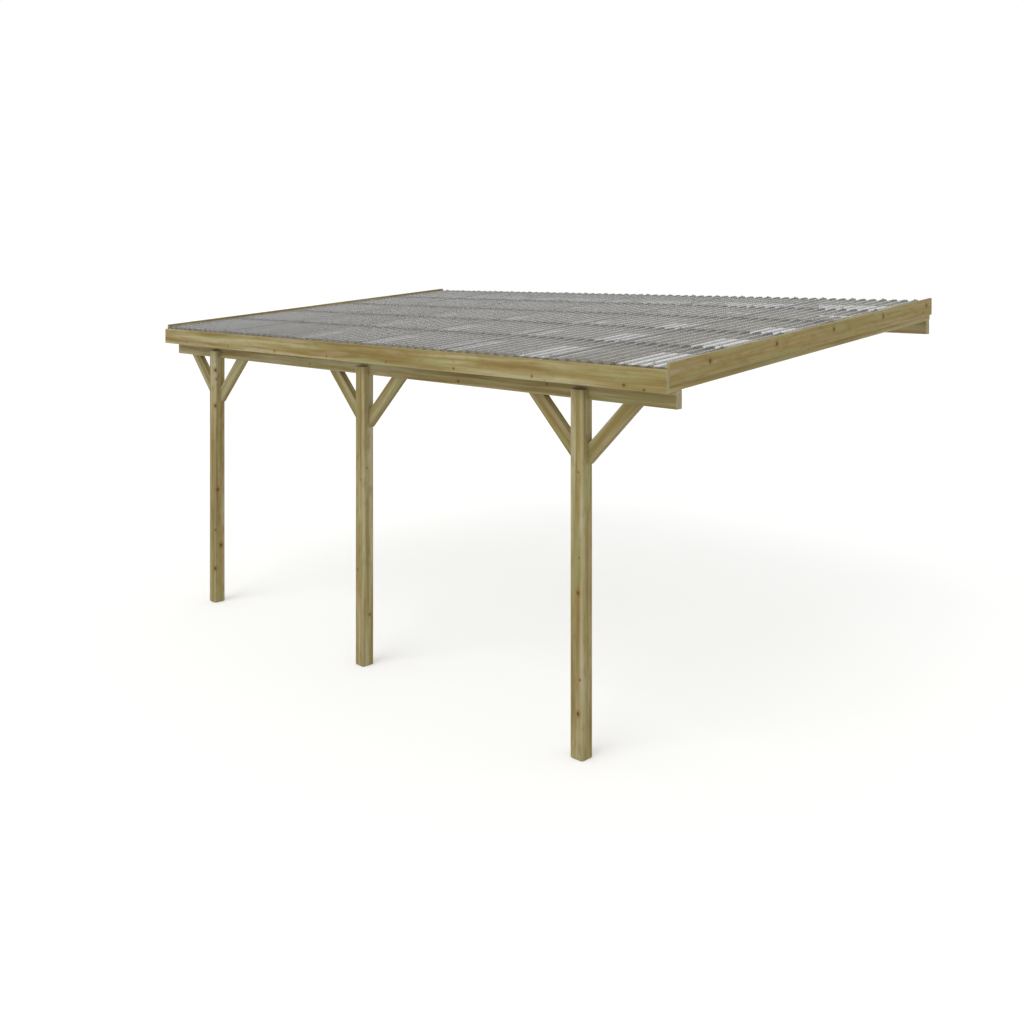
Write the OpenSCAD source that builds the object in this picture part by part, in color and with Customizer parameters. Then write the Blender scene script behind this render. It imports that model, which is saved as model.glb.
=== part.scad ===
// Lean-to patio cover: a timber frame on three posts, fixed to a house wall along its
// back, with a low sloping roof of clear grey corrugated sheets.
// +X is right as seen from the front, +Y points at the house wall, +Z is up.
// The origin is the middle of the wall beam's flat back face.

/* [Roof] */
// Width of the roof over the side boards
roof_width = 5000; // [4400:50:5400]
// Depth from the front of the fascia board to the house wall
roof_depth = 2990; // [2600:10:3400]
// Slope of the roof, falling away from the wall
roof_pitch = 4.9; // [4:0.1:6]
// Gap between the back end of the side boards and the wall
wall_gap = 10; // [0:1:20]

/* [Frame] */
// Ground to the underside of the front beam
headroom = 1883; // [1800:1:2300]
// Set-back of the front beam's face from the front of the fascia
beam_setback = 106.5; // [100:0.5:160]
// Height of both beams
beam_height = 95; // [90:1:120]
// Thickness of the beams, rafters and braces
timber_thickness = 45; // [40:1:60]
// Length of the beams that is left off at each end, inside the roof width
beam_end_inset = 21; // [20:1:60]
// Depth of the seat cut in a rafter, at the front edge of a beam
seat_depth = 2.5; // [2:0.5:4]

/* [Posts] */
// Side of the square posts
post_side = 90; // [90:1:95]
// Radius of the posts' rounded long edges
post_round = 18; // [8:1:20]
// Distance of the outer posts from the middle of the roof
post_spacing = 1866; // [1500:1:1900]
// Height of the post's front lip above the underside of the beam
post_lip = 54; // [30:1:70]

/* [Braces] */
// Width of a brace, across its length
brace_width = 78; // [60:1:90]
// Distance from the post to the outer toe of a brace, along the beam
brace_reach = 342; // [300:1:420]

/* [Rafters and battens] */
// Number of rafters
rafter_count = 7; // [5:1:9]
// Depth of a rafter
rafter_depth = 90; // [80:1:110]
// Number of roof battens
batten_count = 6; // [4:1:7]
// Width of a batten
batten_width = 45; // [35:1:60]
// Thickness of a batten
batten_thickness = 28; // [20:1:35]

/* [Boards] */
// Thickness of the fascia board
fascia_thickness = 20; // [16:1:25]
// Height of the fascia board
fascia_height = 115; // [100:1:115]
// Thickness of the side boards
side_board_thickness = 18; // [16:1:25]
// Height of the side boards
side_board_height = 112; // [100:1:130]
// Part of the outer rafter that shows below a side board
rafter_reveal = 37; // [20:1:50]

/* [Sheets] */
// Corrugation pitch of the roof sheets
wave_pitch = 76; // [76:1:80]
// Height of a corrugation, with the sheet's own thickness
wave_height = 18; // [16:1:20]
// Flat width on top of each corrugation
crest_flat = 22; // [16:1:26]
// Flat width in the bottom of each corrugation
valley_flat = 24; // [16:1:28]
// Thickness of the sheets
sheet_thickness = 1.2; // [1:0.1:2]
// Corrugations that one sheet covers
sheet_waves = 11; // [10:1:12]
// Play between two sheets where they lap
lap_play = 0.2; // [0.1:0.1:0.5]
// Set-back of the sheets' front ends from the front of the fascia
sheet_front = 3; // [3:1:10]

/* [Hidden] */
$fn = 48;
fall = tan(roof_pitch);
beam_top = headroom + beam_height;
// Underside of the rafters, carried on to the front face of the fascia
rafter_base = beam_top - seat_depth - fall * beam_setback;
rafter_upright = rafter_depth / cos(roof_pitch);
wall_beam_front = roof_depth - timber_thickness;
wall_beam_top = rafter_base + fall * wall_beam_front + seat_depth;
wall_beam_mid = wall_beam_top - beam_height / 2;
beam_length = roof_width - 2 * beam_end_inset;
post_front = beam_setback + timber_thickness - post_side;
frame_half = roof_width / 2 - side_board_thickness;
rafter_step = (2 * frame_half - timber_thickness) / (rafter_count - 1);
fascia_bottom = rafter_base + 3.4;
side_board_bottom = rafter_base + rafter_reveal;
first_batten = fascia_thickness + batten_width / 2 + 2;
last_batten = roof_depth - batten_width / 2 - 8;
batten_step = (last_batten - first_batten) / (batten_count - 1);
// Underside of the sheets above the front face of the fascia
sheet_base = rafter_base + rafter_upright + batten_thickness / cos(roof_pitch);
wave_total = floor(2 * frame_half / wave_pitch);
sheet_count = ceil(wave_total / sheet_waves);
sheet_back = roof_depth - wall_gap;
web_run = (wave_pitch - crest_flat - valley_flat) / 2;
lap_lift = sheet_thickness + lap_play;
lip_part = 0.6;

post_names = ["post_left", "post_middle", "post_right"];
post_places = [-post_spacing, 0, post_spacing];

// From the measuring frame (x from the middle, y from the fascia's front, z from the
// ground) to the part's own frame on the wall
module on_wall() {
    translate([0, -roof_depth, -wall_beam_mid]) children();
}

// A profile drawn in the Y-Z plane and extruded along X, centred on x
module along_x(x, width) {
    translate([x - width / 2, 0, 0]) rotate([90, 0, 90]) linear_extrude(width) children();
}

module rounded_square(side, radius) {
    core = side - 2 * radius;
    translate([radius, 0]) square([core, side]);
    translate([0, radius]) square([side, core]);
    for (x = [radius, side - radius], y = [radius, side - radius])
        translate([x, y]) circle(radius);
}

// A post with a notch cut in the top of its back, where the front beam sits
module post(x) {
    color("#a39a6c") on_wall() difference() {
        translate([x - post_side / 2, post_front, 0])
            linear_extrude(headroom + post_lip) rounded_square(post_side, post_round);
        translate([x - post_side, beam_setback, headroom])
            cube([2 * post_side, post_side, beam_height]);
    }
}

// A brace from the side of a post up to the underside of the beam; side is -1 or 1
module brace(x, side) {
    heel = post_side / 2;
    cut = brace_width * sqrt(2);
    color("#9c9362") on_wall()
        translate([x, beam_setback + timber_thickness, headroom]) rotate([90, 0, 0])
            linear_extrude(timber_thickness) polygon([
                [side * heel, -brace_reach],
                [side * (heel + brace_reach), 0],
                [side * (heel + brace_reach - cut), 0],
                [side * heel, cut - brace_reach]
            ]);
}

module front_beam() {
    color("#9a9160") on_wall()
        translate([-beam_length / 2, beam_setback, headroom])
            cube([beam_length, timber_thickness, beam_height]);
}

module wall_beam() {
    color("#8d8458") on_wall()
        translate([-beam_length / 2, wall_beam_front, wall_beam_top - beam_height])
            cube([beam_length, timber_thickness, beam_height]);
}

module fascia_board() {
    color("#8f8350") on_wall()
        translate([-roof_width / 2, 0, fascia_bottom])
            cube([roof_width, fascia_thickness, fascia_height]);
}

// A side board covers the outer face of an outer rafter; side is -1 or 1
module side_board(side) {
    upright = side_board_height / cos(roof_pitch);
    color("#958a58") on_wall()
        along_x(side * (roof_width - side_board_thickness) / 2, side_board_thickness)
            polygon([
                [fascia_thickness, side_board_bottom + fall * fascia_thickness],
                [sheet_back, side_board_bottom + fall * sheet_back],
                [sheet_back, side_board_bottom + fall * sheet_back + upright],
                [fascia_thickness, side_board_bottom + fall * fascia_thickness + upright]
            ]);
}

// A rafter, with level seats cut for the two beams
module rafter(i) {
    x = -frame_half + timber_thickness / 2 + rafter_step * (i - 1);
    color("#8a8054") on_wall() along_x(x, timber_thickness) difference() {
        polygon([
            [fascia_thickness, rafter_base + fall * fascia_thickness],
            [roof_depth, rafter_base + fall * roof_depth],
            [roof_depth, rafter_base + fall * roof_depth + rafter_upright],
            [fascia_thickness, rafter_base + fall * fascia_thickness + rafter_upright]
        ]);
        translate([beam_setback, beam_top - beam_height])
            square([timber_thickness, beam_height]);
        translate([wall_beam_front, wall_beam_top - beam_height])
            square([2 * timber_thickness, beam_height]);
    }
}

// A batten lies flat on the rafters, between the side boards
module batten(i) {
    y = first_batten + batten_step * (i - 1);
    color("#7d7550") on_wall()
        translate([0, y, rafter_base + rafter_upright + fall * y])
            rotate([roof_pitch, 0, 0])
                translate([-frame_half, -batten_width / 2, 0])
                    cube([2 * frame_half, batten_width, batten_thickness]);
}

// Underside line of one corrugation, from its left valley edge to its right one
function wave_line(x, lift) = [
    [x - crest_flat / 2 - web_run, 0],
    [x - crest_flat / 2, wave_height - sheet_thickness + lift],
    [x + crest_flat / 2, wave_height - sheet_thickness + lift],
    [x + crest_flat / 2 + web_run, 0]
];

// Whole underside line of a sheet between two crests. The left crest lies under the
// neighbouring sheet; the right one rides over its neighbour and ends in a short lip.
function sheet_line(left, waves, is_first, is_last) =
    let (
        top = wave_height - sheet_thickness,
        right = left + waves * wave_pitch,
        start = is_first
            ? [[left, top], [left + crest_flat / 2, top]]
            : [[left - crest_flat / 2, top], [left + crest_flat / 2, top]],
        lift = is_last ? 0 : lap_lift,
        over = wave_line(right, lift),
        finish = is_last
            ? [over[0], over[1], [right, top]]
            : [over[0], over[1], over[2],
               [right + crest_flat / 2 + lip_part * web_run, (1 - lip_part) * top + lift]]
    )
    concat(
        start,
        [[left + crest_flat / 2 + web_run, 0]],
        [for (k = [1:1:waves - 1]) each wave_line(left + k * wave_pitch, 0)],
        finish
    );

function reversed(points) = [for (k = [len(points) - 1:-1:0]) points[k]];

module roof_sheet(i) {
    first_crest = -wave_total * wave_pitch / 2;
    left = first_crest + (i - 1) * sheet_waves * wave_pitch;
    waves = min(sheet_waves, wave_total - (i - 1) * sheet_waves);
    under = sheet_line(left, waves, i == 1, i == sheet_count);
    over = [for (p = reversed(under)) p + [0, sheet_thickness]];
    color("#9a9a97", 0.6) on_wall()
        translate([0, 0, sheet_base]) rotate([roof_pitch, 0, 0])
            translate([0, sheet_back / cos(roof_pitch), 0]) rotate([90, 0, 0])
                linear_extrude((sheet_back - sheet_front) / cos(roof_pitch))
                    polygon(concat(under, over));
}

for (k = [0:2]) {
    post(post_places[k]);
    brace(post_places[k], -1);
    brace(post_places[k], 1);
}
front_beam();
wall_beam();
fascia_board();
side_board(-1);  // side_board_left
side_board(1);  // side_board_right
for (i = [1:rafter_count])
    rafter(i);
for (i = [1:batten_count])
    batten(i);
for (i = [1:sheet_count])
    roof_sheet(i);
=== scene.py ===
import math
import random
import bmesh
import bpy
from mathutils import Matrix, Vector


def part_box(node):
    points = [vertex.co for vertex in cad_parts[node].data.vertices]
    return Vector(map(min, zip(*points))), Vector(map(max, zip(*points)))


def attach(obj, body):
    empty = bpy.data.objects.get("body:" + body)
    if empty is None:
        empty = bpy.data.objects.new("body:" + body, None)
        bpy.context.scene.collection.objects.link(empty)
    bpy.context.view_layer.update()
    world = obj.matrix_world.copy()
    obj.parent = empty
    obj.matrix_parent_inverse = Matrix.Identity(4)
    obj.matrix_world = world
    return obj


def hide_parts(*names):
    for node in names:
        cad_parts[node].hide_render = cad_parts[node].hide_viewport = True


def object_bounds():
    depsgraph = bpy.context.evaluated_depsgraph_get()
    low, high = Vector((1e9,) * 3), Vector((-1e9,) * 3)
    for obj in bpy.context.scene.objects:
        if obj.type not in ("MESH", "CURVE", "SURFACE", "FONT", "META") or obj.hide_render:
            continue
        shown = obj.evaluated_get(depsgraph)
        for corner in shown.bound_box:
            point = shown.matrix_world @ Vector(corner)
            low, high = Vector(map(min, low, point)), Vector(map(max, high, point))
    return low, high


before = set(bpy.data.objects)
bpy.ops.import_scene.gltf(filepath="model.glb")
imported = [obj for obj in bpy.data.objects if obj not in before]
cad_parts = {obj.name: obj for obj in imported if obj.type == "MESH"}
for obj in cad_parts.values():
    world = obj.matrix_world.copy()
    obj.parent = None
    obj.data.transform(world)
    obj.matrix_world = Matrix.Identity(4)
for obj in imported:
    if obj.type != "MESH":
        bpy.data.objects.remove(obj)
cadLow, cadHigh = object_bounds()
scene = bpy.context.scene
print("frame loaded:", len(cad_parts), "nodes")

# the directions the timbers and sheets run in
roofPitch = math.radians(4.9)          # fall of the roof, towards the front
acrossX = Vector((1, 0, 0))
alongY = Vector((0, 1, 0))
upZ = Vector((0, 0, 1))
upSlope = Vector((0, math.cos(roofPitch), math.sin(roofPitch)))
offRoof = Vector((0, -math.sin(roofPitch), math.cos(roofPitch)))
groundZ = cadLow.z


def lin(hexColour):
    # sRGB hex to linear RGBA
    parts = [int(hexColour[i:i + 2], 16) / 255 for i in (1, 3, 5)]
    return tuple(c / 12.92 if c <= 0.04045 else ((c + 0.055) / 1.055) ** 2.4 for c in parts) + (1.0,)


def addNode(tree, kind, settings=None, links=None):
    # settings: a property or an input's value; links: input name or index -> output socket
    node = tree.nodes.new(kind)
    for key, value in (settings or {}).items():
        if isinstance(key, str) and hasattr(node, key):
            setattr(node, key, value)
        else:
            node.inputs[key].default_value = value
    for key, socket in (links or {}).items():
        tree.links.new(socket, node.inputs[key])
    return node


def newMaterial(name):
    material = bpy.data.materials.new(name)
    material.use_nodes = True
    material.node_tree.nodes.clear()
    return material, material.node_tree


def boxMiddle(node):
    low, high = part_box(node)
    return (Vector(low) + Vector(high)) / 2


# camera, standing to the right of the front and a little above the fascia
eye = {"at": (5.5325, -7.0912, 0.390), "turn": 44.814, "lens": 37.218, "shiftY": -0.2368}
cameraData = bpy.data.cameras.new("viewCamera")
cameraData.lens = eye["lens"]
cameraData.sensor_width = 36
cameraData.shift_y = eye["shiftY"]
cameraData.clip_end = 200
camera = bpy.data.objects.new("viewCamera", cameraData)
camera.location = eye["at"]
camera.rotation_euler = (math.radians(90), 0, math.radians(eye["turn"]))
scene.collection.objects.link(camera)
scene.camera = camera
print("camera set")


# Knots and resin streaks that show on the faces, in metres. On a post each is its height above
# the ground, its place to the right of and behind the post's middle, and its radius.
postKnots = {
    "post_right": [(0.875, 0.016, -0.045, 0.0080), (0.244, 0.016, -0.045, 0.0080),
                   (0.425, 0.028, -0.045, 0.0040), (1.506, 0.018, -0.045, 0.0032),
                   (1.060, 0.024, -0.045, 0.0030)],
    "post_middle": [(1.205, 0.014, -0.045, 0.0035), (0.62, -0.012, -0.045, 0.0045),
                    (0.33, 0.045, 0.006, 0.0050), (1.28, 0.045, -0.012, 0.0030)],
    "post_left": [(0.437, 0.045, 0.006, 0.0095), (0.265, 0.039, -0.039, 0.0085),
                  (0.870, 0.042, -0.022, 0.0095), (1.516, 0.039, -0.039, 0.0080),
                  (1.790, 0.039, -0.039, 0.0080), (1.720, 0.040, -0.030, 0.0050),
                  (0.560, 0.039, -0.039, 0.0045)],
}
# the fascia's row of knots and the two near its right end, then the row up each side board
boardKnots = {"step": 0.626, "firstX": -2.149, "height": 0.022, "radius": 0.0050,
              "nearEnd": [(2.238, 0.023, 0.0062), (2.362, 0.008, 0.0055)],
              "sideStep": 0.636, "sideFirst": 0.347, "sideHeight": 0.072, "sideRadius": 0.0105}
# on a beam: place from the middle of the roof, height above the underside, radius
beamKnots = [(0.905, 0.022, 0.0060), (1.62, 0.060, 0.0045), (-0.62, 0.030, 0.0040), (-1.35, 0.064, 0.0030)]
resinStreaks = {
    "post_right": [(1.29, 0.018, -0.045, 0.007), (0.66, 0.022, -0.045, 0.006),
                   (0.80, 0.002, -0.045, 0.007)],
    "post_middle": [(1.24, 0.045, 0.004, 0.009), (0.50, 0.010, -0.045, 0.006)],
    "post_left": [(0.437, 0.045, 0.010, 0.024), (0.62, 0.045, -0.004, 0.008), (1.12, 0.008, -0.045, 0.006)],
}


def onPosts(table):
    # post places turned into points in the frame
    points = []
    for node, rows in table.items():
        middle = boxMiddle(node)
        for height, right, behind, radius in rows:
            points.append((Vector((middle.x + right, middle.y + behind, groundZ + height)), radius))
    return points


def onBoards():
    # every knot of the fascia and the side boards, as points in the frame
    low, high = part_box("fascia_board")
    points = []
    x = boardKnots["firstX"]
    while x < high.x:
        points.append((Vector((x, low.y, low.z + boardKnots["height"])), boardKnots["radius"]))
        x += boardKnots["step"]
    for x, height, radius in boardKnots["nearEnd"]:
        points.append((Vector((x, low.y, low.z + height)), radius))
    for node, outer in (("side_board_left", -1), ("side_board_right", 1)):
        low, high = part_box(node)
        x = low.x if outer < 0 else high.x
        foot = Vector((x, low.y, low.z))
        along = boardKnots["sideFirst"]
        while along < (high.y - low.y):
            place = foot + upSlope * along + offRoof * boardKnots["sideHeight"]
            points.append((place, boardKnots["sideRadius"]))
            along += boardKnots["sideStep"]
    return points


def onBeams():
    points = []
    for node in ("front_beam", "wall_beam"):
        low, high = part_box(node)
        for x, height, radius in beamKnots:
            points.append((Vector((x, low.y, low.z + height)), radius))
    return points


def nearestMark(tree, marks, stretch):
    # distance to the nearest mark, in radii of that mark; stretch squeezes the long direction
    at = addNode(tree, "ShaderNodeTexCoord")
    squeezed = addNode(tree, "ShaderNodeMapping", {"Scale": stretch}, {"Vector": at.outputs["Object"]})
    nearest = None
    for place, radius in marks:
        centre = (place.x * stretch[0], place.y * stretch[1], place.z * stretch[2])
        gap = addNode(tree, "ShaderNodeVectorMath", {"operation": "DISTANCE", 1: centre},
                      {0: squeezed.outputs[0]})
        inRadii = addNode(tree, "ShaderNodeMath", {"operation": "DIVIDE", 1: radius},
                          {0: gap.outputs["Value"]})
        if nearest is None:
            nearest = inRadii
        else:
            nearest = addNode(tree, "ShaderNodeMath", {"operation": "MINIMUM"},
                              {0: nearest.outputs[0], 1: inRadii.outputs[0]})
    return nearest.outputs[0]


# How the grain is drawn. Each triple gives repeats in a metre along, across and into the timber.
grainPattern = {
    "wander": (1.1, 6, 6), "wanderBy": 0.028,       # about 8 mm over a metre or so
    "bandRun": 0.9, "streak": (2.2, 105, 105),      # streaks 8 mm wide
    "fibre": (9, 560, 560),                         # fibres under 2 mm wide
    "rings": 62.0, "ringShow": 0.20,                # growth rings 5 mm apart
    "cloud": (12, 48, 48), "cloudFrom": (5, 11, 17),    # marks 80 mm long, 20 mm wide
    "patch": (2.0, 16, 16), "patchFrom": (31, 7, 3), "patchShow": 0.5,     # half a metre long
    "pin": (4.4, 9, 9), "pinShow": 0.55,            # about one pin knot to a metre
    "resinRun": 0.13, "resinShow": 0.42, "haloShow": 0.62, "knotShow": 0.92,
    "gritStrength": 0.35,
}


def pineMaterial(name, look, knots=(), streaks=(), stretch=(1, 1, 1)):
    # Pressure-treated pine. Copper salts turn the sapwood olive green and leave the summer
    # wood of each ring browner, in long streaks; planing leaves it matt.
    material, tree = newMaterial(name)
    grain = addNode(tree, "ShaderNodeAttribute", {"attribute_name": "grain"}).outputs["Vector"]
    arris = addNode(tree, "ShaderNodeAttribute", {"attribute_name": "arris"}).outputs["Fac"]
    endCut = addNode(tree, "ShaderNodeAttribute", {"attribute_name": "endCut"}).outputs["Fac"]

    # the grain wanders a little
    slow = addNode(tree, "ShaderNodeMapping", {"Scale": grainPattern["wander"]}, {"Vector": grain})
    slowNoise = addNode(tree, "ShaderNodeTexNoise", {"Scale": 1.0, "Detail": 2.0},
                        {"Vector": slow.outputs[0]})
    centred = addNode(tree, "ShaderNodeVectorMath", {"operation": "SUBTRACT", 1: (0.5, 0.5, 0.5)},
                      {0: slowNoise.outputs["Color"]})
    drift = addNode(tree, "ShaderNodeVectorMath",
                    {"operation": "MULTIPLY", 1: (0, grainPattern["wanderBy"], grainPattern["wanderBy"])},
                    {0: centred.outputs[0]})
    wandered = addNode(tree, "ShaderNodeVectorMath", {"operation": "ADD"}, {0: grain, 1: drift.outputs[0]})
    wood = wandered.outputs[0]

    # broad bands, streaks and fibres
    bandAt = addNode(tree, "ShaderNodeMapping",
                     {"Scale": (grainPattern["bandRun"], look["bands"], look["bands"])}, {"Vector": wood})
    bands = addNode(tree, "ShaderNodeTexNoise", {"Scale": 1.0, "Detail": 2.0, "Roughness": 0.5},
                    {"Vector": bandAt.outputs[0]})
    streakAt = addNode(tree, "ShaderNodeMapping", {"Scale": grainPattern["streak"]}, {"Vector": wood})
    streakNoise = addNode(tree, "ShaderNodeTexNoise", {"Scale": 1.0, "Detail": 3.0, "Roughness": 0.6},
                          {"Vector": streakAt.outputs[0]})
    fibreAt = addNode(tree, "ShaderNodeMapping", {"Scale": grainPattern["fibre"]}, {"Vector": wood})
    fibres = addNode(tree, "ShaderNodeTexNoise", {"Scale": 1.0, "Detail": 2.0},
                     {"Vector": fibreAt.outputs[0]})
    # growth rings round the pith, which runs along the grain's own X
    rings = addNode(tree, "ShaderNodeTexWave",
                    {"wave_type": "RINGS", "rings_direction": "X", "wave_profile": "SAW",
                     "Scale": grainPattern["rings"], "Distortion": 2.0, "Detail": 2.0, "Detail Scale": 0.6},
                    {"Vector": wood})

    tone = addNode(tree, "ShaderNodeValToRGB", {}, {"Fac": bands.outputs["Fac"]})
    tone.color_ramp.elements[0].position = 0.5 - look["spread"]
    tone.color_ramp.elements[0].color = lin(look["dark"])
    tone.color_ramp.elements[1].position = 0.5 + look["spread"]
    tone.color_ramp.elements[1].color = lin(look["light"])
    middleTone = tone.color_ramp.elements.new(0.5)
    middleTone.color = lin(look["mid"])
    streakMask = addNode(tree, "ShaderNodeMapRange",
                         {"From Min": 0.52, "From Max": 0.72, "To Max": look["streak"]},
                         {"Value": streakNoise.outputs["Fac"]})
    streaked = addNode(tree, "ShaderNodeMix", {"data_type": "RGBA", 7: lin(look["dark"])},
                       {0: streakMask.outputs[0], 6: tone.outputs["Color"]})
    paleMask = addNode(tree, "ShaderNodeMapRange",
                       {"From Min": 0.46, "From Max": 0.28, "To Max": look["streak"]},
                       {"Value": streakNoise.outputs["Fac"]})
    paler = addNode(tree, "ShaderNodeMix", {"data_type": "RGBA", 7: lin(look["light"])},
                    {0: paleMask.outputs[0], 6: streaked.outputs[2]})
    ringMask = addNode(tree, "ShaderNodeMath", {"operation": "MULTIPLY", 1: grainPattern["ringShow"]},
                       {0: rings.outputs["Fac"]})
    ringed = addNode(tree, "ShaderNodeMix", {"data_type": "RGBA", 7: lin(look["summer"])},
                     {0: ringMask.outputs[0], 6: paler.outputs[2]})
    # short cloudy marks
    cloudAt = addNode(tree, "ShaderNodeMapping",
                      {"Scale": grainPattern["cloud"], "Location": grainPattern["cloudFrom"]},
                      {"Vector": wood})
    clouds = addNode(tree, "ShaderNodeTexNoise", {"Scale": 1.0, "Detail": 2.0},
                     {"Vector": cloudAt.outputs[0]})
    cloudMask = addNode(tree, "ShaderNodeMapRange",
                        {"From Min": 0.5, "From Max": 0.7, "To Max": look["mottle"]},
                        {"Value": clouds.outputs["Fac"]})
    clouded = addNode(tree, "ShaderNodeMix", {"data_type": "RGBA", 7: lin(look["summer"])},
                      {0: cloudMask.outputs[0], 6: ringed.outputs[2]})

    # uneven take-up of the treatment: greener and pinker patches
    patchAt = addNode(tree, "ShaderNodeMapping",
                      {"Scale": grainPattern["patch"], "Location": grainPattern["patchFrom"]},
                      {"Vector": wood})
    patches = addNode(tree, "ShaderNodeTexNoise", {"Scale": 1.0, "Detail": 1.0},
                      {"Vector": patchAt.outputs[0]})
    greenMask = addNode(tree, "ShaderNodeMapRange",
                        {"From Min": 0.54, "From Max": 0.74, "To Max": grainPattern["patchShow"]},
                        {"Value": patches.outputs["Fac"]})
    greened = addNode(tree, "ShaderNodeMix", {"data_type": "RGBA", 7: lin(look["green"])},
                      {0: greenMask.outputs[0], 6: clouded.outputs[2]})
    pinkMask = addNode(tree, "ShaderNodeMapRange",
                       {"From Min": 0.44, "From Max": 0.26, "To Max": grainPattern["patchShow"]},
                       {"Value": patches.outputs["Fac"]})
    pinked = addNode(tree, "ShaderNodeMix", {"data_type": "RGBA", 7: lin(look["pink"])},
                     {0: pinkMask.outputs[0], 6: greened.outputs[2]})

    # pin knots, a few millimetres across
    cells = addNode(tree, "ShaderNodeMapping", {"Scale": grainPattern["pin"]}, {"Vector": wood})
    pins = addNode(tree, "ShaderNodeTexVoronoi", {"Scale": 1.0}, {"Vector": cells.outputs[0]})
    pinMask = addNode(tree, "ShaderNodeMapRange",
                      {"interpolation_type": "SMOOTHSTEP", "From Min": 0.055, "From Max": 0.02,
                       "To Max": grainPattern["pinShow"]},
                      {"Value": pins.outputs["Distance"]})
    pinned = addNode(tree, "ShaderNodeMix", {"data_type": "RGBA", 7: lin(look["knot"])},
                     {0: pinMask.outputs[0], 6: pinked.outputs[2]})
    # planed arrises painted paler: a painted highlight where the rounded edges catch the light
    arrisMask = addNode(tree, "ShaderNodeMath", {"operation": "MULTIPLY", 1: look["arris"]}, {0: arris})
    eased = addNode(tree, "ShaderNodeMix", {"data_type": "RGBA", 7: lin(look["arrisHighlight"])},
                    {0: arrisMask.outputs[0], 6: pinned.outputs[2]})
    colour = eased.outputs[2]

    if streaks:
        longStretch = tuple(s if s == 1 else s * grainPattern["resinRun"] for s in stretch)
        resin = nearestMark(tree, streaks, longStretch)
        resinMask = addNode(tree, "ShaderNodeMapRange",
                            {"interpolation_type": "SMOOTHSTEP", "From Min": 1.3, "From Max": 0.3,
                             "To Max": grainPattern["resinShow"]},
                            {"Value": resin})
        colour = addNode(tree, "ShaderNodeMix", {"data_type": "RGBA", 7: lin(look["resin"])},
                         {0: resinMask.outputs[0], 6: colour}).outputs[2]
    if knots:
        reach = nearestMark(tree, knots, stretch)
        haloMask = addNode(tree, "ShaderNodeMapRange",
                           {"interpolation_type": "SMOOTHSTEP", "From Min": 3.4, "From Max": 0.9,
                            "To Max": grainPattern["haloShow"]},
                           {"Value": reach})
        haloed = addNode(tree, "ShaderNodeMix", {"data_type": "RGBA", 7: lin(look["halo"])},
                         {0: haloMask.outputs[0], 6: colour})
        coreMask = addNode(tree, "ShaderNodeMapRange",
                           {"interpolation_type": "SMOOTHSTEP", "From Min": 1.25, "From Max": 0.75,
                            "To Max": grainPattern["knotShow"]},
                           {"Value": reach})
        colour = addNode(tree, "ShaderNodeMix", {"data_type": "RGBA", 7: lin(look["knot"])},
                         {0: coreMask.outputs[0], 6: haloed.outputs[2]}).outputs[2]

    # end grain dries to a colour of its own; on the posts the near-black end colour is partly dark end
    # grain, partly painted shade on their tops under the fascia
    cutMask = addNode(tree, "ShaderNodeMath", {"operation": "MULTIPLY", 1: look["cut"]}, {0: endCut})
    ended = addNode(tree, "ShaderNodeMix", {"data_type": "RGBA", 7: lin(look["end"])},
                    {0: cutMask.outputs[0], 6: colour})

    roughness = addNode(tree, "ShaderNodeMapRange",
                        {"To Min": look["rough"] - 0.06, "To Max": look["rough"] + 0.08},
                        {"Value": streakNoise.outputs["Fac"]})
    relief = addNode(tree, "ShaderNodeMath", {"operation": "ADD"},
                     {0: fibres.outputs["Fac"], 1: ringMask.outputs[0]})
    bump = addNode(tree, "ShaderNodeBump",
                   {"Strength": grainPattern["gritStrength"], "Distance": look["relief"]},
                   {"Height": relief.outputs[0]})
    shader = addNode(tree, "ShaderNodeBsdfPrincipled", {"IOR": 1.5, "Specular IOR Level": 0.3},
                     {"Base Color": ended.outputs[2], "Roughness": roughness.outputs[0],
                      "Normal": bump.outputs[0]})
    addNode(tree, "ShaderNodeOutputMaterial", {}, {"Surface": shader.outputs[0]})
    return material


# One look for all the timber; each kind of piece changes what differs. bands is how many
# bands there are to a metre across, and spread how far the noise has to go to reach the
# darkest and lightest wood; streak, mottle, arris and cut are how strongly each one shows.
pineLook = {
    "light": "#aea67e", "mid": "#97884f", "dark": "#7f6c38", "summer": "#7a6030",
    "green": "#949764", "pink": "#a99676", "resin": "#a06a30", "halo": "#806427",
    "knot": "#54411b", "arrisHighlight": "#b2ad8e", "end": "#a3967b", "cut": 0.65,
    "bands": 24, "spread": 0.13, "streak": 0.5, "mottle": 0.2,
    "arris": 0.75, "rough": 0.62, "relief": 0.0005,
}
# the posts' near-black end colour is partly dark end grain, partly painted shade on their tops under the
# fascia
postPine = pineMaterial("pressure-treated pine post, planed and rounded",
                        dict(pineLook, end="#4b4022", cut=0.9, arris=0.28, streak=0.32, mottle=0.45,
                             light="#b5ad8a", mid="#9d8f5c", dark="#84723f", halo="#8a6029"),
                        onPosts(postKnots), onPosts(resinStreaks), (1, 1, 0.75))
beamPine = pineMaterial("pressure-treated pine beam, planed",
                        dict(pineLook, light="#b2a982", mid="#998a56", dark="#816e3d"),
                        onBeams(), (), (0.75, 1, 1))
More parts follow.
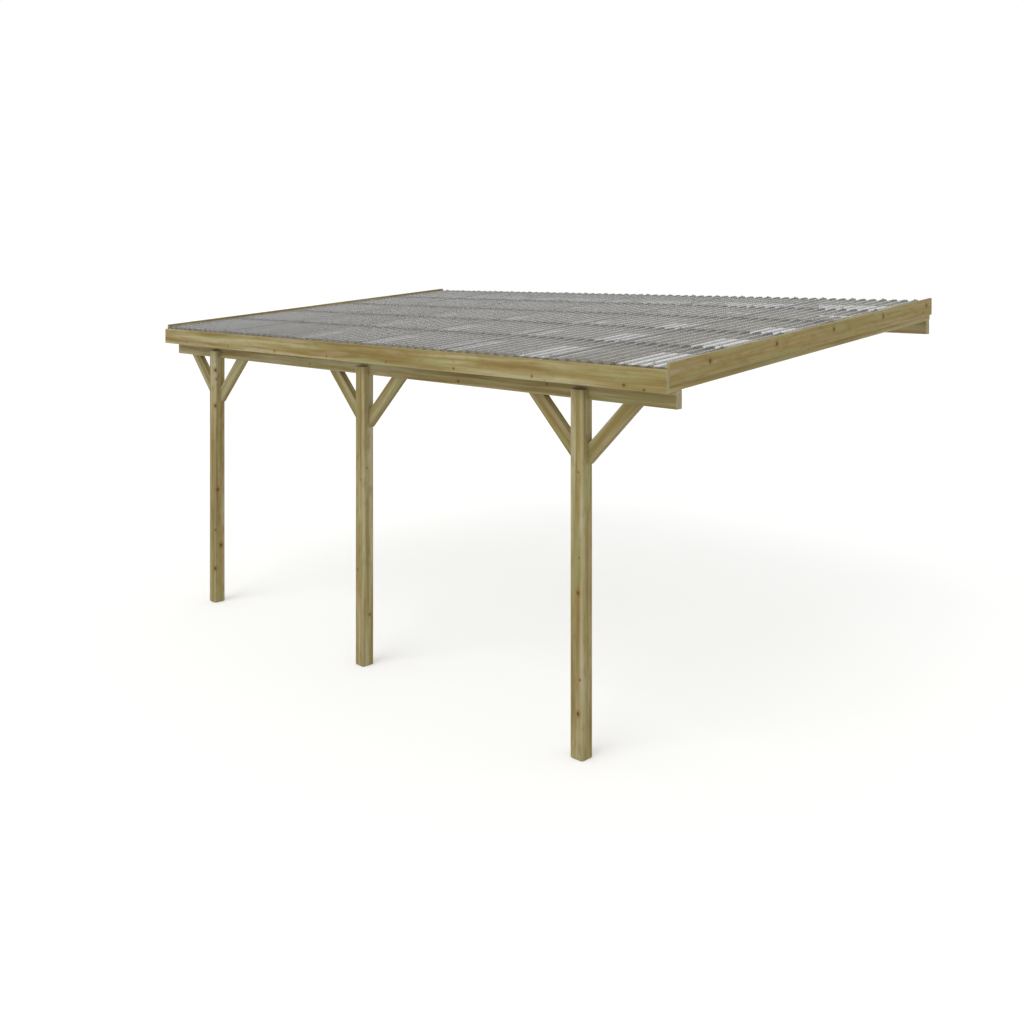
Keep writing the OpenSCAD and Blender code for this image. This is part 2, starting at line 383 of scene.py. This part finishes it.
# the wall beam's copy of the beam finish is darker all over: painted shade for its place at the back, under
# the roof
shadedWallPine = pineMaterial("pressure-treated pine wall beam, darkened for shade",
                        dict(pineLook, light="#a0966c", mid="#86774a", dark="#716036"),
                        onBeams(), (), (0.75, 1, 1))
boardPine = pineMaterial("pressure-treated pine board, planed",
                         dict(pineLook, bands=26, mottle=0.35, streak=0.36, light="#b0a87e", mid="#988752",
                              dark="#84703a"), onBoards())
sidePine = pineMaterial("pressure-treated pine side board, planed",
                        dict(pineLook, bands=60, spread=0.24, mottle=0.5, streak=0.22, arris=0.4,
                             light="#a69a70", mid="#96854f", dark="#87753d"), onBoards())
bracePine = pineMaterial("pressure-treated pine brace, planed",
                         dict(pineLook, bands=28, light="#a59d77", mid="#8c7e4b"))
# the rafters' copy is lighter all over: painted light lifting the shade that the side boards' overhang
# casts on the rafter strip below them
litRafterPine = pineMaterial("pressure-treated pine rafter, lightened against shade",
                          dict(pineLook, light="#b4ab86", mid="#9f8f5b", dark="#8a7744"))
battenPine = pineMaterial("pressure-treated pine batten, sawn",
                          dict(pineLook, light="#938a61", mid="#827549", dark="#6c5d35",
                               rough=0.8, relief=0.0012))
print("timber finishes made")


# A timber's pith lies up to "aside" off its middle one way and from "nearest" to "deepest" the
# other; its grain starts anywhere in "startUpTo" metres. The two angles at its end set the painted
# highlight on the arrises: paler from the first, in degrees off flat, and fully so the second further on.
planing = {"aside": 0.05, "nearest": 0.03, "deepest": 0.09, "startUpTo": 40,
           "highlightFrom": 10, "highlightOver": 28}


def timberPiece(node, material, lengthAxis, widthAxis, easing, footEasing=0.0):
    # a copy of the CAD node with its arrises eased, and the attributes its grain follows
    bm = bmesh.new()
    bm.from_mesh(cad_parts[node].data)
    bmesh.ops.remove_doubles(bm, verts=bm.verts, dist=1e-5)
    bmesh.ops.dissolve_limit(bm, angle_limit=math.radians(1), verts=bm.verts, edges=bm.edges)
    grainLayer = bm.verts.layers.float_vector.new("grain")
    arrisLayer = bm.verts.layers.float.new("arris")
    endLayer = bm.faces.layers.float.new("endCut")
    deepAxis = lengthAxis.cross(widthAxis)
    axes = (lengthAxis, widthAxis, deepAxis)
    isPost = node.startswith("post") and "brace" not in node
    if footEasing:
        rim = [e for e in bm.edges if all(v.co.z < groundZ + 1e-4 for v in e.verts)]
        bmesh.ops.bevel(bm, geom=rim, offset=footEasing, segments=3, profile=0.5, affect="EDGES",
                        material=-1)
    sharp = [e for e in bm.edges if e.is_convex and e.calc_face_angle(0) > math.radians(40)]
    eased = bmesh.ops.bevel(bm, geom=sharp, offset=easing, segments=2, profile=0.5, affect="EDGES",
                            material=-1)
    easedFaces = set(eased["faces"])
    flats = set()
    for face in bm.faces:
        offAxis = math.acos(min(1, max(abs(face.normal.dot(a)) for a in axes)))
        if face not in easedFaces and not (isPost and offAxis > math.radians(2)):
            flats.add(face)
        face.smooth = face not in flats

    # the pith of each timber lies in a place of its own
    pick = random.Random(node)
    pith = boxMiddle(node) + widthAxis * pick.uniform(-planing["aside"], planing["aside"])
    pith += deepAxis * pick.uniform(planing["nearest"], planing["deepest"])
    shift = pick.uniform(0, planing["startUpTo"])
    for v in bm.verts:
        away = v.co - pith
        v[grainLayer] = (away.dot(lengthAxis) + shift, away.dot(widthAxis), away.dot(deepAxis))
        # how far each rounded edge turns off the axes sets the painted highlight on it
        if not any(face in flats for face in v.link_faces):
            turned = math.degrees(math.acos(min(1, max(abs(v.normal.dot(a)) for a in axes))))
            v[arrisLayer] = min(1, max(0, (turned - planing["highlightFrom"]) / planing["highlightOver"]))
    for face in flats:
        if abs(face.normal.dot(lengthAxis)) > 0.65:
            face[endLayer] = 1.0
    mesh = bpy.data.meshes.new(node + "_planed")
    bm.to_mesh(mesh)
    bm.free()
    mesh.materials.append(material)
    piece = bpy.data.objects.new(node + "_planed", mesh)
    scene.collection.objects.link(piece)
    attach(piece, "root")
    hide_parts(node)


easing = {"post": 0.002, "postFoot": 0.006, "brace": 0.0035, "beam": 0.003, "board": 0.0025,
          "rafter": 0.003, "batten": 0.001}
for node in sorted(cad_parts):
    if "brace" in node:
        rise = Vector((-1 if node.endswith("left") else 1, 0, 1)).normalized()
        timberPiece(node, bracePine, rise, alongY, easing["brace"])
    elif node.startswith("post"):
        timberPiece(node, postPine, upZ, acrossX, easing["post"], easing["postFoot"])
    elif node.endswith("beam"):
        beamLook = shadedWallPine if node == "wall_beam" else beamPine
        timberPiece(node, beamLook, acrossX, upZ, easing["beam"])
    elif node == "fascia_board":
        timberPiece(node, boardPine, acrossX, upZ, easing["board"])
    elif node.startswith("side_board"):
        timberPiece(node, sidePine, upSlope, acrossX, easing["board"])
    elif node.startswith("rafter"):
        timberPiece(node, litRafterPine, upSlope, acrossX, easing["rafter"])
    elif node.startswith("batten"):
        timberPiece(node, battenPine, acrossX, upSlope, easing["batten"])
print("timbers planed")


# Smoke-grey PVC sheet, extruded glossy: nearly clear where it faces the eye and a pale grey at
# a low angle, so the timbers show through in stripes. Its haze is drawn out up the slope, in
# repeats to a metre.
sheetLook = {"tint": "#a9a9a7", "faceOn": 0.07, "glancing": 0.48, "rough": 0.16, "ior": 1.53,
             "haze": (9, 1.5, 9), "fold": 0.003, "foldSegments": 3, "leastFace": 0.01}
sheetPlastic, tree = newMaterial("smoke-grey PVC sheet, extruded")
at = addNode(tree, "ShaderNodeTexCoord")
hazeAt = addNode(tree, "ShaderNodeMapping", {"Scale": sheetLook["haze"]}, {"Vector": at.outputs["Object"]})
haze = addNode(tree, "ShaderNodeTexNoise", {"Scale": 1.0, "Detail": 3.0}, {"Vector": hazeAt.outputs[0]})
sheetRough = addNode(tree, "ShaderNodeMapRange",
                     {"To Min": sheetLook["rough"] - 0.05, "To Max": sheetLook["rough"] + 0.07},
                     {"Value": haze.outputs["Fac"]})
glance = addNode(tree, "ShaderNodeFresnel", {"IOR": sheetLook["ior"]})
cover = addNode(tree, "ShaderNodeMapRange",
                {"To Min": sheetLook["faceOn"], "To Max": sheetLook["glancing"]},
                {"Value": glance.outputs[0]})
shader = addNode(tree, "ShaderNodeBsdfPrincipled",
                 {"Base Color": lin(sheetLook["tint"]), "IOR": sheetLook["ior"]},
                 {"Roughness": sheetRough.outputs[0], "Alpha": cover.outputs[0]})
addNode(tree, "ShaderNodeOutputMaterial", {}, {"Surface": shader.outputs[0]})
scene.cycles.transparent_max_bounces = 64      # a low line of sight crosses many folds

sheetNodes = sorted(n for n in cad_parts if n.startswith("roof_sheet"))
for node in sheetNodes:
    bm = bmesh.new()
    bm.from_mesh(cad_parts[node].data)
    bmesh.ops.remove_doubles(bm, verts=bm.verts, dist=1e-5)
    bmesh.ops.dissolve_limit(bm, angle_limit=math.radians(1), verts=bm.verts, edges=bm.edges)
    # only the folds are rounded: not the cut ends, nor the thin side edges
    folds = []
    for e in bm.edges:
        runsUp = abs((e.verts[0].co - e.verts[1].co).normalized().dot(upSlope)) > 0.99
        if runsUp and e.calc_face_angle(0) > math.radians(20):
            if min(f.calc_area() for f in e.link_faces) > sheetLook["leastFace"]:
                folds.append(e)
    rounded = bmesh.ops.bevel(bm, geom=folds, offset=sheetLook["fold"], segments=sheetLook["foldSegments"],
                              profile=0.5, affect="EDGES", material=-1)
    for face in rounded["faces"]:
        face.smooth = True
    mesh = bpy.data.meshes.new(node + "_formed")
    bm.to_mesh(mesh)
    bm.free()
    mesh.materials.append(sheetPlastic)
    piece = bpy.data.objects.new(node + "_formed", mesh)
    scene.collection.objects.link(piece)
    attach(piece, "root")
    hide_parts(node)
print("roof sheets formed:", len(sheetNodes))


# Crest spacers: moulded polypropylene saddles, dull, that hold each crest up where it is
# screwed down; their near-black grey is partly their own colour, partly painted shade for the
# hollow under each crest, and they show as dark dashes through the sheet
spacer = {"baseWide": 0.0495, "topWide": 0.0210, "high": 0.0163, "long": 0.045, "edge": 0.0012,
          "colour": "#242323", "rough": 0.6, "grain": 140.0}     # 7 mm, coarse enough to show
# Sheet screws: a pressed washer cap in the sheet's grey under a small hexagon head
sheetScrew = {"capRadius": 0.009, "capTop": 0.006, "capHigh": 0.0025, "lift": 0.0014,
              "headRadius": 0.0042, "headHigh": 0.0025, "everyCrest": 3, "colour": "#8d8d8b",
              "rough": 0.35, "grain": 220.0}      # 5 mm, coarse enough to show
# one corrugation of the sheets, and the battens under them
wave = {"pitch": 0.076, "height": 0.018, "crest": 0.022, "webRun": 0.015, "webDrop": 0.0168,
        "lapGap": 0.0002}
battenThickness = 0.028

spacerShadePlastic, tree = newMaterial("polypropylene crest spacer, moulded, dark for shade")
at = addNode(tree, "ShaderNodeTexCoord")
mottle = addNode(tree, "ShaderNodeTexNoise", {"Scale": spacer["grain"], "Detail": 2.0},
                 {"Vector": at.outputs["Object"]})
dull = addNode(tree, "ShaderNodeMapRange",
               {"To Min": spacer["rough"] - 0.08, "To Max": spacer["rough"] + 0.08},
               {"Value": mottle.outputs["Fac"]})
grit = addNode(tree, "ShaderNodeBump", {"Strength": 0.2, "Distance": 0.0002},
               {"Height": mottle.outputs["Fac"]})
shader = addNode(tree, "ShaderNodeBsdfPrincipled", {"Base Color": lin(spacer["colour"]), "IOR": 1.49},
                 {"Roughness": dull.outputs[0], "Normal": grit.outputs[0]})
addNode(tree, "ShaderNodeOutputMaterial", {}, {"Surface": shader.outputs[0]})

capSteel, tree = newMaterial("coated steel sheet screw, pressed cap")
at = addNode(tree, "ShaderNodeTexCoord")
mottle = addNode(tree, "ShaderNodeTexNoise", {"Scale": sheetScrew["grain"], "Detail": 2.0},
                 {"Vector": at.outputs["Object"]})
coat = addNode(tree, "ShaderNodeMapRange",
               {"To Min": sheetScrew["rough"] - 0.06, "To Max": sheetScrew["rough"] + 0.1},
               {"Value": mottle.outputs["Fac"]})
shader = addNode(tree, "ShaderNodeBsdfPrincipled", {"Base Color": lin(sheetScrew["colour"]), "IOR": 1.5},
                 {"Roughness": coat.outputs[0]})
addNode(tree, "ShaderNodeOutputMaterial", {}, {"Surface": shader.outputs[0]})


def battenTop(batten):
    # turns and lifts what is made on the flat onto the middle of a batten's top
    onTop = boxMiddle(batten) + offRoof * battenThickness / 2
    return Matrix.Translation(onTop) @ Matrix.Rotation(roofPitch, 4, "X")


def fixingRow(batten, name, material, makeOne, crests):
    # one mesh of the same small fixing at each crest along a batten
    bm = bmesh.new()
    for x in crests:
        before = set(bm.verts)
        makeOne(bm)
        added = [v for v in bm.verts if v not in before]
        bmesh.ops.translate(bm, vec=(x, 0, 0), verts=added)
    bmesh.ops.transform(bm, matrix=battenTop(batten), verts=bm.verts)
    mesh = bpy.data.meshes.new(name)
    bm.to_mesh(mesh)
    bm.free()
    mesh.materials.append(material)
    piece = bpy.data.objects.new(name, mesh)
    scene.collection.objects.link(piece)
    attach(piece, "root")


def makeSpacer(bm):
    # a block the shape of the crest's inside
    block = bmesh.ops.create_cube(bm, size=1)["verts"]
    bmesh.ops.scale(bm, vec=(spacer["baseWide"], spacer["long"], spacer["high"]), verts=block)
    bmesh.ops.translate(bm, vec=(0, 0, spacer["high"] / 2), verts=block)
    top = [v for v in block if v.co.z > spacer["high"] / 2]
    bmesh.ops.scale(bm, vec=(spacer["topWide"] / spacer["baseWide"], 1, 1), verts=top)
    rim = {e for v in top for e in v.link_edges}
    bmesh.ops.bevel(bm, geom=list(rim), offset=spacer["edge"], segments=1, profile=0.5, affect="EDGES",
                    material=-1)


def makeScrew(bm):
    # cap on the crest, then the head
    cap = bmesh.ops.create_cone(bm, cap_ends=True, segments=12, radius1=sheetScrew["capRadius"],
                                radius2=sheetScrew["capTop"], depth=sheetScrew["capHigh"])["verts"]
    capZ = wave["height"] + sheetScrew["lift"] + sheetScrew["capHigh"] / 2
    bmesh.ops.translate(bm, vec=(0, 0, capZ), verts=cap)
    head = bmesh.ops.create_cone(bm, cap_ends=True, segments=6, radius1=sheetScrew["headRadius"],
                                 radius2=sheetScrew["headRadius"], depth=sheetScrew["headHigh"])["verts"]
    headZ = wave["height"] + sheetScrew["lift"] + sheetScrew["capHigh"] + sheetScrew["headHigh"] / 2
    bmesh.ops.translate(bm, vec=(0, 0, headZ), verts=head)


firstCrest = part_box(sheetNodes[0])[0].x
waves = round((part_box(sheetNodes[-1])[1].x - firstCrest) / wave["pitch"])
crests = [firstCrest + i * wave["pitch"] for i in range(1, waves)]
battens = sorted(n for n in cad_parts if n.startswith("batten"))
for number, batten in enumerate(battens, 1):
    if number > 1:      # the front batten has no spacers
        fixingRow(batten, "crest_spacers_" + str(number), spacerShadePlastic, makeSpacer, crests)
    screwed = crests[::sheetScrew["everyCrest"]]
    fixingRow(batten, "sheet_screws_" + str(number), capSteel, makeScrew, screwed)
print("fixings laid:", len(battens), "rows")


# Lap strip: a thin dark-grey strip under the lip of each sheet where it laps the next, as
# painted shadow of the lip; it shows as a dark line along the lap
lapShadow = {"wide": 0.006, "thick": 0.00008, "edge": 0.00003, "endsShort": 0.01,
           "down": 0.48,      # how far down the web, as a part of it
           "colour": "#3b3a37", "rough": 0.7, "smear": 60.0}      # smears 17 mm wide

lapShadowPaint, tree = newMaterial("dark lap strip, painted shadow of the sheet lip")
at = addNode(tree, "ShaderNodeTexCoord")
smear = addNode(tree, "ShaderNodeTexNoise", {"Scale": lapShadow["smear"], "Detail": 2.0},
                {"Vector": at.outputs["Object"]})
lapShadowRough = addNode(tree, "ShaderNodeMapRange",
                    {"To Min": lapShadow["rough"] - 0.1, "To Max": lapShadow["rough"] + 0.1},
                    {"Value": smear.outputs["Fac"]})
shader = addNode(tree, "ShaderNodeBsdfPrincipled", {"Base Color": lin(lapShadow["colour"])},
                 {"Roughness": lapShadowRough.outputs[0]})
addNode(tree, "ShaderNodeOutputMaterial", {}, {"Surface": shader.outputs[0]})

onSheets = battenTop(battens[0])
webTurn = Matrix.Rotation(math.atan2(wave["webDrop"], wave["webRun"]), 4, "Y")
for number, node in enumerate(sheetNodes[1:], 1):
    low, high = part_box(node)
    x = low.x + wave["crest"] + wave["webRun"] * lapShadow["down"]
    z = wave["height"] + wave["lapGap"] / 2 - wave["webDrop"] * lapShadow["down"]
    y = ((low.y + high.y) / 2 - boxMiddle(battens[0]).y) / math.cos(roofPitch)
    long = (high.y - low.y) / math.cos(roofPitch) - 2 * lapShadow["endsShort"]
    bm = bmesh.new()
    strip = bmesh.ops.create_cube(bm, size=1)["verts"]
    bmesh.ops.scale(bm, vec=(lapShadow["wide"], long, lapShadow["thick"]), verts=strip)
    bmesh.ops.bevel(bm, geom=bm.edges[:], offset=lapShadow["edge"], segments=2, profile=0.5, affect="EDGES",
                    material=-1)
    bmesh.ops.transform(bm, matrix=onSheets @ Matrix.Translation((x, y, z)) @ webTurn, verts=bm.verts)
    mesh = bpy.data.meshes.new("lap_shadow_strip_" + str(number))
    bm.to_mesh(mesh)
    bm.free()
    mesh.materials.append(lapShadowPaint)
    piece = bpy.data.objects.new("lap_shadow_strip_" + str(number), mesh)
    scene.collection.objects.link(piece)
    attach(piece, "root")
print("lap shadow strips laid")


# studio: pale floor, even white surround, one broad soft lamp from the front
studio = {"floor": "#f2f2f0", "floorReach": 60, "floorGlow": 0.22, "surround": 0.76,
          "sun": 0.85, "sunSpread": 40, "sunTurn": (42, 1, 0)}
floorMesh = bpy.data.meshes.new("floor")
bm = bmesh.new()
bmesh.ops.create_grid(bm, x_segments=1, y_segments=1, size=studio["floorReach"],
                      matrix=Matrix.Translation((0, 0, groundZ)))
bm.to_mesh(floorMesh)
bm.free()
floor = bpy.data.objects.new("floor", floorMesh)
scene.collection.objects.link(floor)
floorPaint, tree = newMaterial("pale floor")
path = addNode(tree, "ShaderNodeLightPath")
matt = addNode(tree, "ShaderNodeBsdfDiffuse", {"Color": lin(studio["floor"])})
glow = addNode(tree, "ShaderNodeMath", {"operation": "MULTIPLY", 1: studio["floorGlow"]},
               {0: path.outputs["Is Camera Ray"]})
lit = addNode(tree, "ShaderNodeEmission", {"Color": (1, 1, 1, 1)}, {"Strength": glow.outputs[0]})
both = addNode(tree, "ShaderNodeAddShader", {}, {0: matt.outputs[0], 1: lit.outputs[0]})
addNode(tree, "ShaderNodeOutputMaterial", {}, {"Surface": both.outputs[0]})
floorMesh.materials.append(floorPaint)

world = bpy.data.worlds.new("studio")
scene.world = world
world.use_nodes = True
tree = world.node_tree
tree.nodes.clear()
path = addNode(tree, "ShaderNodeLightPath")
seen = addNode(tree, "ShaderNodeMath", {"operation": "MAXIMUM"},
               {0: path.outputs["Is Camera Ray"], 1: path.outputs["Is Glossy Ray"]})
strength = addNode(tree, "ShaderNodeMapRange", {"To Min": studio["surround"], "To Max": 1.0},
                   {"Value": seen.outputs[0]})
surround = addNode(tree, "ShaderNodeBackground", {"Color": (1, 1, 1, 1)}, {"Strength": strength.outputs[0]})
addNode(tree, "ShaderNodeOutputWorld", {}, {"Surface": surround.outputs[0]})

sunData = bpy.data.lights.new("softLamp", "SUN")
sunData.energy = studio["sun"]
sunData.angle = math.radians(studio["sunSpread"])
sun = bpy.data.objects.new("softLamp", sunData)
sun.rotation_euler = [math.radians(a) for a in studio["sunTurn"]]
scene.collection.objects.link(sun)
scene.view_settings.view_transform = "Standard"
print("studio lit")

print("scene ready")
